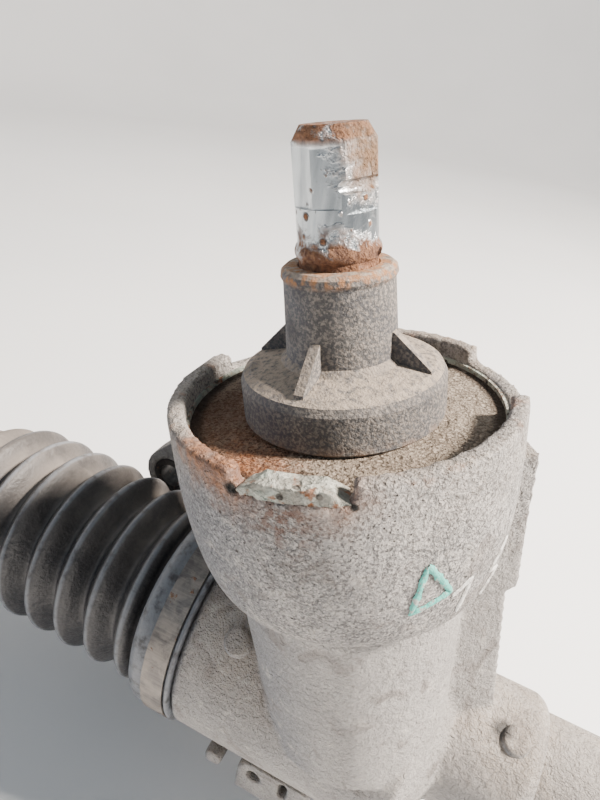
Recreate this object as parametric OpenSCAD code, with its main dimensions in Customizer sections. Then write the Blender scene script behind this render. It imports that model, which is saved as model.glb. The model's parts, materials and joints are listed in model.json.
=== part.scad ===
// Rack and pinion steering gear with a torque sensor tower.
// The origin is the centre of the four mounting bolts, on the mounting face.
// +X runs along the rack away from the pinion, +Y leaves the mounting face, +Z is up.

/* [Rack] */
// Diameter of the rack bar
rack_d = 24; // [23.6:0.1:24]
// Length of the rack bar between its shoulders
rack_len = 622; // [616:1:626]
// Travel of the rack to each side of centre
travel = 65; // [50:1:65]

/* [Gear pair] */
// Number of pinion teeth
teeth = 7; // [6:1:7]
// Normal module of the teeth
gear_module = 2; // [1.8:0.1:2]
// Slant of the rack teeth from the vertical, in degrees
rack_slant = 11; // [9:1:12]
// Pressure angle of the teeth, in degrees
pressure_angle = 20; // [18:1:22]
// Length of the toothed part of the pinion
pinion_face = 32; // [30:1:34]

/* [Sensor tower] */
// Outer radius of the cup at its rim
rim_r = 41; // [40:0.5:43]
// Height of the rim above the rack, along the tower
rim_h = 119.5; // [118.5:0.5:121]
// Lean of the tower towards the near boot, in degrees
tower_lean = 14; // [12:1:15]
// Depth of the notches in the rim
notch_depth = 4.1; // [3:0.1:5]

/* [Input shaft] */
// Diameter of the input shaft
shaft_d = 17; // [16.6:0.1:17]
// Height of the shaft end above the rim
shaft_rise = 56; // [50:1:60]
// Radius of the dust cap's skirt
cap_r = 23.5; // [22:0.5:25]

/* [Boots] */
// Radius of the boot over its folds
boot_r = 34; // [33:0.5:35]
// Radius of the boot inside its folds
boot_valley_r = 27; // [25:0.5:29]

/* [Tie rods] */
// Length of a tie rod from its ball centre to its threaded end
rod_len = 290; // [270:5:310]
// Diameter of the tie rod's thread
rod_thread_d = 14; // [12:1:14]
// Droop of the tie rods at rest, in degrees
droop = 10; // [0:1:12]

/* [Mounting] */
// Distance between the bolts along the rack
bolt_span_x = 562; // [560:1:566]
// Distance between the bolts across the rack
bolt_span_z = 34; // [32:1:36]
// Radius of the threaded hole in each insert
bolt_r = 5.25; // [4.25:0.25:5.5]

/* [Hidden] */
$fn = 72;
e = 0.01;
mount_face = 46;                      // rack axis to mounting face
tower_x = -175;                       // where the pinion axis crosses the rack
rack_r = rack_d / 2;

// gear pair
pinion_slant = rack_slant + tower_lean;
pitch_r = gear_module * teeth / (2 * cos(pinion_slant));
addendum = 1.1 * gear_module;
rack_addendum = 0.8 * gear_module;
tip_gap = 0.1 * gear_module;
rack_pitch_y = 6;                     // rack axis to the pitch line of its teeth
pinion_y = -(rack_pitch_y + pitch_r); // pinion axis in front of the rack axis
rack_pitch = PI * gear_module / cos(rack_slant);
cross_pitch = PI * gear_module / cos(pinion_slant);
cross_angle = atan(tan(pressure_angle) / cos(pinion_slant));
backlash = 0.36;
tip_r = pitch_r + addendum;
tooth_reach = travel + 24;            // half length of the toothed part of the rack
gap_count = ceil(tooth_reach / rack_pitch);

// housing
bore_r = 15;                          // bore that the rack runs in
tube_r = 18;
tube_wall = 3;
tube_seat = 22;                       // length of the tube held in each casting
chamber_r = 37;
block_r = 22;                         // castings round the ends of the tube
boot_seat_r = 35;
boot_seat_len = 15;
casting_right = -122;                 // right face of the gear housing
casting_left = -245;                  // left face of the gear housing
end_x = -casting_left;                // outer face of the end housing
end_in = 150;                         // inner face of the end housing
cup_in_r = rim_r - 4;
step_h = rim_h - 46;                  // foot of the cup
step_r = rim_r - 7;
neck_r = 31;                          // under the cup
neck_foot_r = 26.5;
cup_floor_h = step_h + 6;
side_at = 34;                         // bearing of the tower's side wall
port_at = 124;                        // bearing of the sensor's socket, behind the tower
bearing_h = 46;
bearing_w = 12;
bearing_r = 21;
bearing_in_r = 10;
needle_h = -34;
needle_w = 12;
needle_r = 9;
journal_r = 6;
cap_h = -50;                          // lower end of the pinion bore
bar_r = 3.2;                          // ends of the torsion bar
pin_r = 1.5;
lower_pin_h = 24;
upper_pin_h = rim_h + 31;
sensor_h = 82;                        // foot of the sleeve on the pinion
rotor_h = sensor_h + 8;
cover_h = rim_h - 8.2;
cover_t = 2.6;

// sleeves, yoke, ball joints
insert_r = 8;
eye_r = 12;
arm_y = 35;                           // front of the mounting arms, behind the boots
arm_t = 10;
yoke_r = 14;
plug_r = 16;
yoke_back = 41;
ball_x = 335;
thread_len = 56;                      // thread that the jam nut leaves free
ball_r = 11.5;
seat_r = 14;
socket_r = 18;
socket_in = ball_x - 24;
boot_tail = 80;                       // ball centre to the boot's small end

// ---- places ----

// The rack axis is the X axis here; the mounting face is mount_face behind it.
module at_rack() translate([0, -mount_face, 0]) children();

// Height h along the leaning tower, whose axis is the pinion's.
module on_tower(h = 0)
    at_rack() translate([tower_x, pinion_y, 0]) rotate([0, -tower_lean, 0])
        translate([0, 0, h]) children();

// Turns a shape that stands on Z so that it runs along +X from x.
module along_x(x = 0) translate([x, 0, 0]) rotate([0, 90, 0]) children();

// Turns a shape that stands on Z so that it runs along +Y from y.
module along_y(x = 0, y = 0, z = 0) translate([x, y, z]) rotate([-90, 0, 0]) children();

// side -1 is the tower's end, +1 the far end.
module on_side(side) at_rack() mirror([side < 0 ? 1 : 0, 0, 0]) children();

// Along the drooping tie rod: the ball centre is the origin and the rod runs along +Z.
module on_rod(side, s = 0)
    on_side(side) translate([ball_x, 0, 0]) rotate([0, 90 + droop, 0])
        translate([0, 0, s]) children();

module ring(r_out, r_in, h) difference() {
    cylinder(r = r_out, h = h);
    translate([0, 0, -1]) cylinder(r = r_in, h = h + 2);
}

module hex_prism(across, h) cylinder(d = across / cos(30), h = h, $fn = 6);

// ---- castings ----

// Outline of the sensor cup: straight at the rim, drawn in to a step at its foot.
function cup_wall(n = 10) = [
    for (i = [0:n])
        let (a = 90 * i / n)
        [step_r + (rim_r - step_r) * sin(a), rim_h - 12 - (rim_h - 12 - step_h) * cos(a) * cos(a / 3)]
];

module cup_body() {
    rotate_extrude() polygon(concat(
        [[0, step_h]], cup_wall(), [[rim_r, rim_h], [0, rim_h]]));
    translate([0, 0, 8]) cylinder(r1 = neck_foot_r, r2 = neck_r, h = step_h - 8 + e);
}

// One notch of the rim, between two angles about the tower.
module rim_notch(from, to)
    rotate([0, 0, from]) translate([0, 0, rim_h - notch_depth])
        rotate_extrude(angle = to - from) translate([cup_in_r - 3, 0]) square([12, notch_depth + 5]);

// A block against the tower's side at a bearing: how far out, how wide, from and to, and its draft.
module side_block(at, out, wide, from, to, draft = 0)
    rotate([0, 0, at]) translate([0, wide / 2, 0]) rotate([90, 0, 0]) linear_extrude(height = wide)
        polygon([[0, from], [out - draft, from], [out, to], [0, to]]);

// Wall down the tower's right side, with a flat pad on it.
module side_wall() {
    side_block(side_at, rim_r - 1.5, 25, 8, rim_h - 24);
    side_block(side_at, rim_r + 3, 26, rim_h - 60, rim_h - 18, 1.8);
}

module sensor_port() side_block(port_at, rim_r + 2.4, 26, rim_h - 43, rim_h - 10);

module port_cavity()
    rotate([0, 0, port_at]) translate([rim_r - 14, -8, rim_h - 33]) cube([30, 16, 18]);

// Mounting arm behind the boot: an eye for an insert, with a gusset that rises towards the tower.
module mount_arm() {
    along_y(bolt_span_x / 2, arm_y, bolt_span_z / 2) cylinder(r = eye_r, h = arm_t);
    hull() {
        along_y(bolt_span_x / 2, arm_y, bolt_span_z / 2) cylinder(r = eye_r, h = arm_t, $fn = 32);
        along_y(259, arm_y, 47) cylinder(r = 8, h = arm_t, $fn = 32);
        along_y(216, arm_y, 12) cylinder(r = 10, h = arm_t, $fn = 32);
    }
}

module insert_hole() along_y(bolt_span_x / 2, arm_y - 5, bolt_span_z / 2) cylinder(r = insert_r, h = 30);

// Hollow in the front of the arm, inside its gusset's rim.
module arm_pocket() hull() {
    along_y(bolt_span_x / 2 - 5, arm_y - 1, bolt_span_z / 2 + 12) cylinder(r = 4, h = 7, $fn = 24);
    along_y(258, arm_y - 1, 46) cylinder(r = 4, h = 7, $fn = 24);
    along_y(250, arm_y - 1, 26) cylinder(r = 4, h = 7, $fn = 24);
}

// Both arms of one casting, and the foot that joins them to it, relieved round the boot's collar.
module mount_foot() difference() {
    union() {
        for (m = [0, 1]) mirror([0, 0, m]) mount_arm();
        translate([202, 12, -24]) cube([20, arm_y + arm_t - 12, 48]);
    }
    along_x(end_x - boot_seat_len - 0.5) cylinder(r = boot_seat_r + 4.5, h = 20.5);
}

// Shoulder of a casting that its boot fits over.
module boot_seat() difference() {
    along_x(end_x - boot_seat_len - 15) cylinder(r = boot_seat_r, h = boot_seat_len + 15);
    along_x(end_x - boot_seat_len + 2) ring(boot_seat_r + 4, boot_seat_r - 1.5, 10);
}

// The block round the end of the tube, with a rounded edge; it faces away from its boot.
module tube_block(len) {
    cylinder(r = block_r, h = len - 4);
    translate([0, 0, len - 4]) cylinder(r1 = block_r, r2 = block_r - 1.2, h = 2.4);
    translate([0, 0, len - 1.6]) cylinder(r1 = block_r - 1.2, r2 = block_r - 3, h = 1.6);
}

// Round ejector mark on a casting of radius r, at x and an angle up from the front.
module ejector_mark(x, up, r, mark_r)
    translate([x, 0, 0]) rotate([up, 0, 0]) rotate([90, 0, 0]) cylinder(r = mark_r, h = r + 1);

// Stub and bolt lug under the front of the gear housing.
module front_lugs() difference() {
    union() {
        along_y(-217, -28, -38) cylinder(r = 3.4, h = 24);
        along_y(-201, -28, -35) cylinder(r = 6.4, h = 24);
        translate([-207.4, -28, -46]) cube([22, 24, 11]);
        translate([-201, -28, -41]) cube([20, 24, 12.4]);
    }
    along_y(-201, -30, -35) cylinder(r = 2.6, h = 12);
    translate([-191.5, -30, -38]) cube([3, 8, 8]);
}

module gear_housing() color("darkgray") difference() {
    union() {
        on_tower() cup_body();
        on_tower() side_wall();
        on_tower() sensor_port();
        on_tower(cap_h + 2) cylinder(r = 18, h = 60);
        at_rack() {
            along_x(casting_left + boot_seat_len) cylinder(r = chamber_r, h = 72);
            along_x(casting_left + boot_seat_len + 72) cylinder(r1 = chamber_r, r2 = block_r, h = 9);
            along_x(-150) tube_block(150 + casting_right);
            along_y(tower_x, 0) cylinder(r = 20, h = yoke_back);
            ejector_mark(-215, 46, chamber_r, 4.2);
            ejector_mark(-131.5, 68, block_r, 3.9);
            front_lugs();
        }
        on_side(-1) {
            mount_foot();
            boot_seat();
        }
    }
    on_side(-1) for (m = [0, 1]) mirror([0, 0, m]) {
        insert_hole();
        arm_pocket();
    }
    // rack bore, and the seat of the rack tube
    at_rack() along_x(casting_left - 1) cylinder(r = bore_r, h = 200);
    at_rack() along_x(casting_right - tube_seat) cylinder(r = tube_r, h = tube_seat + 1);
    // yoke bore and its thread
    at_rack() along_y(tower_x, 0) cylinder(r = yoke_r + 0.02, h = 60);
    at_rack() along_y(tower_x, 29) cylinder(r = plug_r, h = 30);
    // pinion bore, from the sensor cup down to the end cap
    on_tower(cup_floor_h) cylinder(r = cup_in_r - 2, h = 60);
    on_tower(rim_h - 12) cylinder(r = cup_in_r, h = 20);
    on_tower(bearing_h) cylinder(r = bearing_r, h = 40);
    on_tower(24) cylinder(r = 18, h = 40);
    on_tower(-22) cylinder(r = tip_r + 1, h = 60);
    on_tower(needle_h) cylinder(r = needle_r, h = 20);
    on_tower(cap_h) cylinder(r = 12, h = 12);
    on_tower() port_cavity();
    for (p = [[-101, -66.5], [11, 52], [125, 165]]) on_tower() rim_notch(p[0], p[1]);
    on_tower() port_holes();
}

module port_holes(r = 1.7, depth = 6)
    for (z = [rim_h - 40, rim_h - 13], y = [-10, 10])
        rotate([0, 0, port_at]) translate([rim_r + 2.4 - depth, y, z]) rotate([0, 90, 0])
            cylinder(r = r, h = depth + 5);

module rack_tube() color("gainsboro") at_rack()
    along_x(casting_right - tube_seat)
        ring(tube_r, tube_r - tube_wall, end_in - casting_right + 2 * tube_seat);

module end_housing() color("darkgray") difference() {
    union() {
        at_rack() {
            along_x(end_in + 40) mirror([0, 0, 1]) tube_block(40);
            along_x(end_in + 40) cylinder(r1 = block_r, r2 = 31, h = 12);
            along_x(end_in + 52 - e) cylinder(r = 31, h = 30);
        }
        on_side(1) {
            mount_foot();
            boot_seat();
        }
    }
    on_side(1) for (m = [0, 1]) mirror([0, 0, m]) {
        insert_hole();
        arm_pocket();
    }
    at_rack() along_x(end_in - 1) cylinder(r = tube_r, h = tube_seat + 1);
    at_rack() along_x(end_in) cylinder(r = bore_r, h = 200);
    at_rack() along_x(end_x - 32) cylinder(r = 17, h = 40);
}

module mount_inserts() color("dimgray")
    for (x = [-1, 1], z = [-1, 1])
        translate([x * bolt_span_x / 2, arm_y - mount_face, z * bolt_span_z / 2]) rotate([-90, 0, 0])
            ring(insert_r, bolt_r, mount_face - arm_y);

// ---- rack guides ----

module rack_bush() color("ivory") at_rack() along_x(end_x - 32) difference() {
    cylinder(r = 17, h = 24);
    translate([0, 0, -1]) cylinder(r = rack_r + 0.03, h = 40);
    // split
    translate([0, -0.75, -1]) cube([30, 1.5, 40]);
}

module bush_ring() color("silver") at_rack() along_x(end_x - 8) ring(17, 13.5, 2.5);

// The yoke presses the rack into the pinion from behind.
module yoke() color("silver") at_rack() difference() {
    along_y(tower_x, 5) cylinder(r = yoke_r, h = 23);
    along_x(tower_x - 30) cylinder(r = rack_r + 1, h = 60);
    along_y(tower_x, 19) cylinder(r = 8.5, h = 20);
    along_y(tower_x, 22) ring(yoke_r + 3, yoke_r - 2.2, 3.4);
}

module yoke_liner() color("tan") at_rack() difference() {
    intersection() {
        along_x(tower_x - 11) cylinder(r = rack_r + 1, h = 22);
        translate([tower_x - 12, 5, -10.5]) cube([24, 20, 21]);
    }
    along_x(tower_x - 30) cylinder(r = rack_r + 0.03, h = 60);
}

// Coil spring between the yoke and its plug: rings of points swept up a helix.
spring_turns = 3.5;
spring_steps = 70;
spring_r = 6;
wire_r = 1.1;
wire_sides = 8;
spring_points = [
    for (i = [0:spring_steps], k = [0:wire_sides - 1])
        let (turn = 360 * spring_turns * i / spring_steps, a = 360 * k / wire_sides,
            r = spring_r + wire_r * cos(a))
        [r * cos(turn), r * sin(turn), wire_r + (12 - 2 * wire_r) * i / spring_steps + wire_r * sin(a)]
];
spring_faces = concat(
    [[for (k = [0:wire_sides - 1]) k]],
    [for (i = [0:spring_steps - 1], k = [0:wire_sides - 1])
        let (a = i * wire_sides + k, b = i * wire_sides + (k + 1) % wire_sides)
        each [[a, a + wire_sides, b], [b, a + wire_sides, b + wire_sides]]],
    [[for (k = [wire_sides - 1:-1:0]) spring_steps * wire_sides + k]]);
module yoke_spring() color("slategray") at_rack() along_y(tower_x, 19.2)
    polyhedron(spring_points, spring_faces);

module yoke_o_ring() color("black") at_rack() along_y(tower_x, 23.7)
    rotate_extrude() translate([yoke_r - 1.1, 0]) circle(r = 1.05, $fn = 24);

module yoke_plug() color("silver") at_rack() difference() {
    along_y(tower_x, 31.4) cylinder(r = plug_r, h = mount_face - 31.4 - 1);
    along_y(tower_x, mount_face - 7) hex_prism(14, 10);
}

module yoke_lock_nut() color("gray") at_rack() difference() {
    along_y(tower_x, yoke_back) hex_prism(38, 3.5);
    along_y(tower_x, yoke_back - 1) cylinder(r = plug_r, h = 8);
}

// ---- pinion bearings ----

race_r = 15.5;
groove_r = 3.6;
ball_count = 9;

module race_groove() rotate_extrude() translate([race_r, bearing_w / 2]) circle(r = groove_r, $fn = 32);

module bearing_outer_race() color("lightsteelblue") on_tower(bearing_h) difference() {
    ring(bearing_r, 17.6, bearing_w);
    race_groove();
}

module bearing_inner_race() color("lightsteelblue") on_tower(bearing_h) difference() {
    ring(13.4, bearing_in_r, bearing_w);
    race_groove();
}

module bearing_balls() color("silver") on_tower(bearing_h + bearing_w / 2)
    for (i = [0:ball_count - 1]) rotate([0, 0, i * 360 / ball_count])
        translate([race_r, 0, 0]) sphere(r = groove_r - 0.05, $fn = 32);

module bearing_cage() color("goldenrod") on_tower(bearing_h + bearing_w / 2) difference() {
    translate([0, 0, -4.4]) ring(16.6, 14.4, 8.8);
    for (i = [0:ball_count - 1]) rotate([0, 0, i * 360 / ball_count])
        rotate([0, 90, 0]) cylinder(r = groove_r + 0.02, h = 40);
}

module bearing_retainer() color("gray") on_tower(bearing_h + bearing_w) difference() {
    ring(bearing_r, 17.6, 6);
    for (a = [0:90:270]) rotate([0, 0, a]) translate([19, -2, 3]) cube([4, 4, 5]);
}

module bearing_nut() color("gray") on_tower(bearing_h + bearing_w) difference() {
    ring(13.4, bearing_in_r, 6);
    for (a = [0:90:270]) rotate([0, 0, a]) translate([12, -1.5, 2]) cube([4, 3, 6]);
}

needle_count = 14;
needle_d = 1.5;

module needle_cup() color("lightsteelblue") on_tower(needle_h) difference() {
    cylinder(r = needle_r, h = needle_w);
    translate([0, 0, -1]) cylinder(r = journal_r + needle_d + 0.04, h = needle_w + 2);
}

module needles(extra = 0)
    for (i = [0:needle_count - 1]) rotate([0, 0, i * 360 / needle_count])
        translate([journal_r + needle_d / 2 + 0.02, 0, 1 - extra])
            cylinder(d = needle_d + extra, h = needle_w - 2 + 2 * extra, $fn = 24);

module needle_rollers() color("silver") on_tower(needle_h) needles();

module needle_cage() color("dimgray") on_tower(needle_h) difference() {
    translate([0, 0, 0.2]) ring(journal_r + 1.15, journal_r + 0.45, needle_w - 0.4);
    needles();
}

module end_cap() color("gray") on_tower(cap_h) difference() {
    union() {
        translate([0, 0, 2]) cylinder(r = 12, h = 10);
        translate([0, 0, -1]) hex_prism(26, 3);
    }
    translate([0, 0, 6]) cylinder(r = 8, h = 10);
}

// ---- rack and its ends ----

// Section of one gap between rack teeth, across the teeth.
module rack_gap_section() {
    half = PI * gear_module / 4 + backlash / 2;
    deep = addendum + tip_gap;
    out = rack_addendum + 8;
    polygon([
        [-half - out * tan(pressure_angle), -out], [half + out * tan(pressure_angle), -out],
        [half - deep * tan(pressure_angle), deep], [-half + deep * tan(pressure_angle), deep]
    ]);
}

module rack_bar() color("silver") at_rack() difference() {
    along_x(-rack_len / 2) cylinder(r = rack_r, h = rack_len);
    // tooth gaps, half a pitch to each side of the tooth that stands on the pinion axis
    for (i = [-gap_count:gap_count - 1])
        translate([tower_x + (i + 0.5) * rack_pitch, -rack_pitch_y, 0])
            rotate([0, rack_slant, 0]) linear_extrude(height = 60, center = true) rack_gap_section();
    // tips of the teeth
    translate([tower_x - tooth_reach, -rack_pitch_y - rack_addendum - 20, -20])
        cube([2 * tooth_reach, 20, 40]);
    // threaded holes for the sockets
    for (s = [0, 1]) mirror([s, 0, 0]) along_x(rack_len / 2 - 26) cylinder(r = 7, h = 30);
}

module socket(side) color("dimgray") {
    on_side(side) difference() {
        union() {
            along_x(rack_len / 2 + 2) cylinder(r = socket_r, h = ball_x + 8 - rack_len / 2 - 2);
            along_x(rack_len / 2 - 22) cylinder(r = 7, h = 26);
        }
        along_x(ball_x) sphere(r = seat_r);
        // mouth, wide enough for the rod's swing
        along_x(ball_x + 5) cylinder(r1 = 12, r2 = 16, h = 4);
        for (a = [0, 180]) rotate([a, 0, 0]) translate([socket_in + 4, -20, socket_r - 2]) cube([9, 40, 5]);
    }
}
module left_socket() socket(-1);
module right_socket() socket(1);

module lock_washers() color("gray") for (s = [-1, 1]) on_side(s) along_x(rack_len / 2) ring(16, 7.2, 2);

// The seat is a split ball cup between the ball and its socket.
module ball_seat(side) color("ivory") on_side(side) along_x(ball_x) difference() {
    sphere(r = seat_r - 0.03);
    sphere(r = ball_r + 0.03);
    translate([-20, -20, 4.5]) cube([40, 40, 40]);
    translate([-20, -20, -50]) cube([40, 40, 40]);
}
module left_ball_seat() ball_seat(-1);
module right_ball_seat() ball_seat(1);

// Ball, shank, seat of the boot's small end, hexagon and thread.
module tie_rod(side) color("gray") on_rod(side) {
    sphere(r = ball_r);
    cylinder(r = 6.5, h = 60);
    translate([0, 0, 52]) cylinder(r1 = 6.5, r2 = 9, h = 10);
    translate([0, 0, 62 - e]) cylinder(r = 9, h = 22);
    translate([0, 0, 84 - e]) cylinder(r1 = 9, r2 = 8, h = 8);
    translate([0, 0, 90]) cylinder(r = 8, h = rod_len - 200);
    translate([0, 0, rod_len - 111]) hex_prism(17, 18);
    translate([0, 0, rod_len - 95]) cylinder(r = rod_thread_d / 2 - 0.4, h = 60);
    translate([0, 0, rod_len - thread_len]) cylinder(r = rod_thread_d / 2, h = thread_len);
}
module left_tie_rod() tie_rod(-1);
module right_tie_rod() tie_rod(1);

module jam_nut(side) color("darkkhaki") on_rod(side, rod_len - thread_len - 10) difference() {
    hex_prism(22, 10);
    translate([0, 0, -1]) cylinder(r = rod_thread_d / 2 - 0.4, h = 12);
}
module left_jam_nut() jam_nut(-1);
module right_jam_nut() jam_nut(1);

// ---- boots ----

// Bezier centre line of a boot, from the housing to the tie rod.
boot_start = [end_x - 14, 0];
boot_end = [ball_x + boot_tail * cos(droop), -boot_tail * sin(droop)];
boot_bend = [ball_x, 0];
function boot_mid(t) =
    let (p = boot_start, q = [(end_x + ball_x) / 2, 0], r = boot_bend, s = boot_end)
    pow(1 - t, 3) * p + 3 * pow(1 - t, 2) * t * q + 3 * (1 - t) * t * t * r + pow(t, 3) * s;
function boot_way(t) =
    let (d = boot_mid(min(1, t + 0.01)) - boot_mid(max(0, t - 0.01))) d / norm(d);

boot_folds = 11;
boot_sides = 20;
boot_wall = 1.4;
// Place and radius of each ring: lip, collar, folds, then the small end on the rod.
function boot_radii() = concat(
    [[0, boot_seat_r + 3.2], [0.008, boot_seat_r + 3.2], [0.012, boot_seat_r + 2], [0.085, boot_seat_r + 2],
     [0.1, boot_valley_r + 2]],
    [for (i = [0:boot_folds - 1], k = [0, 1])
        [0.125 + 0.067 * (i + k * 0.5), (k == 0 ? boot_r : boot_valley_r) - 4 * max(0, i - boot_folds + 4)]],
    [[0.88, 13], [0.91, 10.8], [1, 10.8]]);

function boot_ring(t, r) =
    let (c = boot_mid(t), d = boot_way(t))
    [for (i = [0:boot_sides - 1])
        let (a = 360 * i / boot_sides)
        [c[0] - r * sin(a) * d[1], r * cos(a), c[1] + r * sin(a) * d[0]]];

// A closed tube skin: the outer rings one way, then the inner rings back.
module boot_shell() {
    outer = boot_radii();
    inner = [for (i = [len(outer) - 1:-1:0]) [outer[i][0], outer[i][1] - boot_wall]];
    rings = concat(outer, inner);
    n = boot_sides;
    m = len(rings);
    points = [for (q = rings) each boot_ring(q[0], q[1])];
    faces = [for (j = [0:m - 1], i = [0:n - 1])
        let (a = j * n + i, b = j * n + (i + 1) % n, c = ((j + 1) % m) * n)
        each [[a, b, c + (i + 1) % n], [a, c + (i + 1) % n, c + i]]];
    polyhedron(points, faces);
}
module left_boot() color("darkslategray") on_side(-1) boot_shell();
module right_boot() color("darkslategray") on_side(1) boot_shell();

module boot_band(side) color("gray") on_side(side) along_x(end_x - 12)
    ring(boot_seat_r + 3.1, boot_seat_r + 2.4, 8);
module left_boot_band() boot_band(-1);
module right_boot_band() boot_band(1);

module boot_clip(side) color("gray") on_rod(side, boot_tail - 8) ring(11.8, 11.1, 4);
module left_boot_clip() boot_clip(-1);
module right_boot_clip() boot_clip(1);

// ---- pinion ----

// One rack tooth in the plane across the pinion, its tip towards the axis.
module cutting_tooth() {
    half = cross_pitch / 4 - backlash / 4;
    deep = rack_addendum + tip_gap;
    out = addendum + 1;
    polygon([
        [-half - out * tan(cross_angle), out], [-half + deep * tan(cross_angle), -deep],
        [half - deep * tan(cross_angle), -deep], [half + out * tan(cross_angle), out]
    ]);
}

// The rack tooth rolled round the pitch circle leaves the pinion's profile.
module pinion_profile() difference() {
    circle(r = tip_r, $fn = 56);
    for (k = [0:teeth - 1], roll = [-32:8:32])
        rotate(90 + k * 360 / teeth + roll) rotate(-90)
            translate([pitch_r * roll * PI / 180, pitch_r]) cutting_tooth();
}

module pinion_teeth() {
    turn = pinion_face * tan(pinion_slant) / pitch_r * 180 / PI;
    rotate([0, 0, turn / 2]) translate([0, 0, -pinion_face / 2])
        linear_extrude(height = pinion_face, twist = turn, slices = 16) pinion_profile();
}

module pinion() color("lightgray") on_tower() difference() {
    union() {
        pinion_teeth();
        translate([0, 0, needle_h]) cylinder(r = journal_r, h = -needle_h - pinion_face / 2 + 0.5);
        translate([0, 0, pinion_face / 2 - 0.5]) cylinder(r = 9, h = 12);
        translate([0, 0, 27]) cylinder(r = bearing_in_r + 3, h = bearing_h - 27);
        translate([0, 0, bearing_h - 1]) cylinder(r = bearing_in_r, h = sensor_h + 7 - bearing_h);
    }
    translate([0, 0, -6]) cylinder(r = bar_r, h = 100);
    translate([0, 0, bearing_h + 14]) cylinder(r = 8.15, h = 40);
    translate([0, 0, lower_pin_h]) rotate([0, 90, 0]) cylinder(r = pin_r, h = 60, center = true);
}

module torsion_bar() color("steelblue") on_tower() difference() {
    union() {
        cylinder(r = 2.4, h = upper_pin_h);
        for (h = [lower_pin_h, upper_pin_h]) translate([0, 0, h - 10]) cylinder(r = bar_r, h = 20);
    }
    for (h = [lower_pin_h, upper_pin_h])
        translate([0, 0, h]) rotate([0, 90, 0]) cylinder(r = pin_r, h = 60, center = true);
}

module cross_pin(h, len) on_tower(h) rotate([0, 90, 0]) cylinder(r = pin_r, h = len, center = true);
module lower_pin() color("silver") cross_pin(lower_pin_h, 17);
module upper_pin() color("silver") cross_pin(upper_pin_h, 16);

module sensor_sleeve() color("darkseagreen") on_tower(sensor_h) difference() {
    ring(15, bearing_in_r, 6);
    for (a = [0:40:320]) rotate([0, 0, a]) translate([13.8, -1.6, 3]) cube([3, 3.2, 5]);
}

// ---- input side ----

module input_shaft() color("lightgray") on_tower() difference() {
    union() {
        translate([0, 0, 64]) cylinder(r = 8.1, h = rotor_h - 64);
        translate([0, 0, rotor_h]) cylinder(r = 10, h = 12);
        translate([0, 0, rotor_h + 12]) cylinder(d = shaft_d, h = rim_h + shaft_rise - rotor_h - 15);
        translate([0, 0, rim_h + shaft_rise - 3 - e])
            cylinder(d1 = shaft_d, d2 = shaft_d - 3.6, h = 3);
        translate([0, 0, rim_h + 32]) rotate_extrude()
            translate([shaft_d / 2 - 1.7, 0]) circle(r = 2.4, $fn = 24);
    }
    // bore of the torsion bar, and its pin's hole
    translate([0, 0, 60]) cylinder(r = 2.9, h = upper_pin_h - 68);
    translate([0, 0, upper_pin_h - 10.5]) cylinder(r = bar_r + 0.02, h = 21);
    translate([0, 0, upper_pin_h]) rotate([0, 90, 0]) cylinder(r = pin_r, h = 60, center = true);
    // flats that key the joint yoke: bearing about the shaft, depth and height above the rim
    for (f = [[-127, 0.9, 41], [-83, 0.6, 41], [-24, 1.2, 40]])
        rotate([0, 0, f[0]]) translate([shaft_d / 2 - f[1], -10, rim_h + f[2]]) cube([10, 20, 30]);
    // groove for the yoke's clamp bolt, across the widest flat
    rotate([0, 0, -24]) translate([shaft_d / 2 - 0.9, 0, rim_h + 45]) rotate([90, 0, 0])
        cylinder(r = 1.4, h = 30, center = true);
}

module sensor_rotor() color("darkseagreen") on_tower(rotor_h) difference() {
    ring(15, 10, 7);
    for (a = [20:40:340]) rotate([0, 0, a]) translate([13.8, -1.6, -1]) cube([3, 3.2, 4]);
}

module sensor_stator() color("darkgreen") {
    on_tower(sensor_h - 2) difference() {
        ring(cup_in_r - 2, 15.6, 20);
        translate([0, 0, 8]) ring(27, 20, 30);
    }
}

module port_cover() color("gray") on_tower() difference() {
    rotate([0, 0, port_at]) {
        translate([rim_r + 2.4, -13, rim_h - 43]) cube([2.4, 26, 33]);
        translate([rim_r + 4.7, 0, rim_h - 25]) rotate([0, 90, 0]) cylinder(r = 7, h = 11);
    }
    rotate([0, 0, port_at]) translate([rim_r + 6.5, 0, rim_h - 25]) rotate([0, 90, 0])
        cylinder(r = 5.4, h = 12);
    port_holes();
}

module port_screws() color("silver") on_tower()
    for (z = [rim_h - 40, rim_h - 13], y = [-10, 10])
        rotate([0, 0, port_at]) translate([rim_r + 2.4, y, z]) rotate([0, 90, 0]) {
            translate([0, 0, -5.5]) cylinder(r = 1.7, h = 8);
            translate([0, 0, 2.4]) cylinder(r = 2.7, h = 1.8);
        }

module tower_cover() color("tan") on_tower(cover_h) difference() {
    union() {
        cylinder(r = cup_in_r - 0.6, h = cover_t);
        translate([0, 0, -4]) cylinder(r = 15, h = 5);
    }
    translate([0, 0, -5]) cylinder(r = 12, h = 20);
}

// The ring that holds the cover down, pressed into the rim's notches.
module crimp_ring() color("darkkhaki") on_tower(cover_h) ring(cup_in_r, cup_in_r - 0.6, cover_t + 1.2);

module shaft_seal() color("black") on_tower(cover_h - 4)
    rotate_extrude() polygon([[12, 0], [12, 6.4], [10.5, 6.4], [shaft_d / 2 + 0.3, 3.5],
        [shaft_d / 2 + 0.3, 2.7], [10.2, 4.6], [10.2, 0]]);

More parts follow.
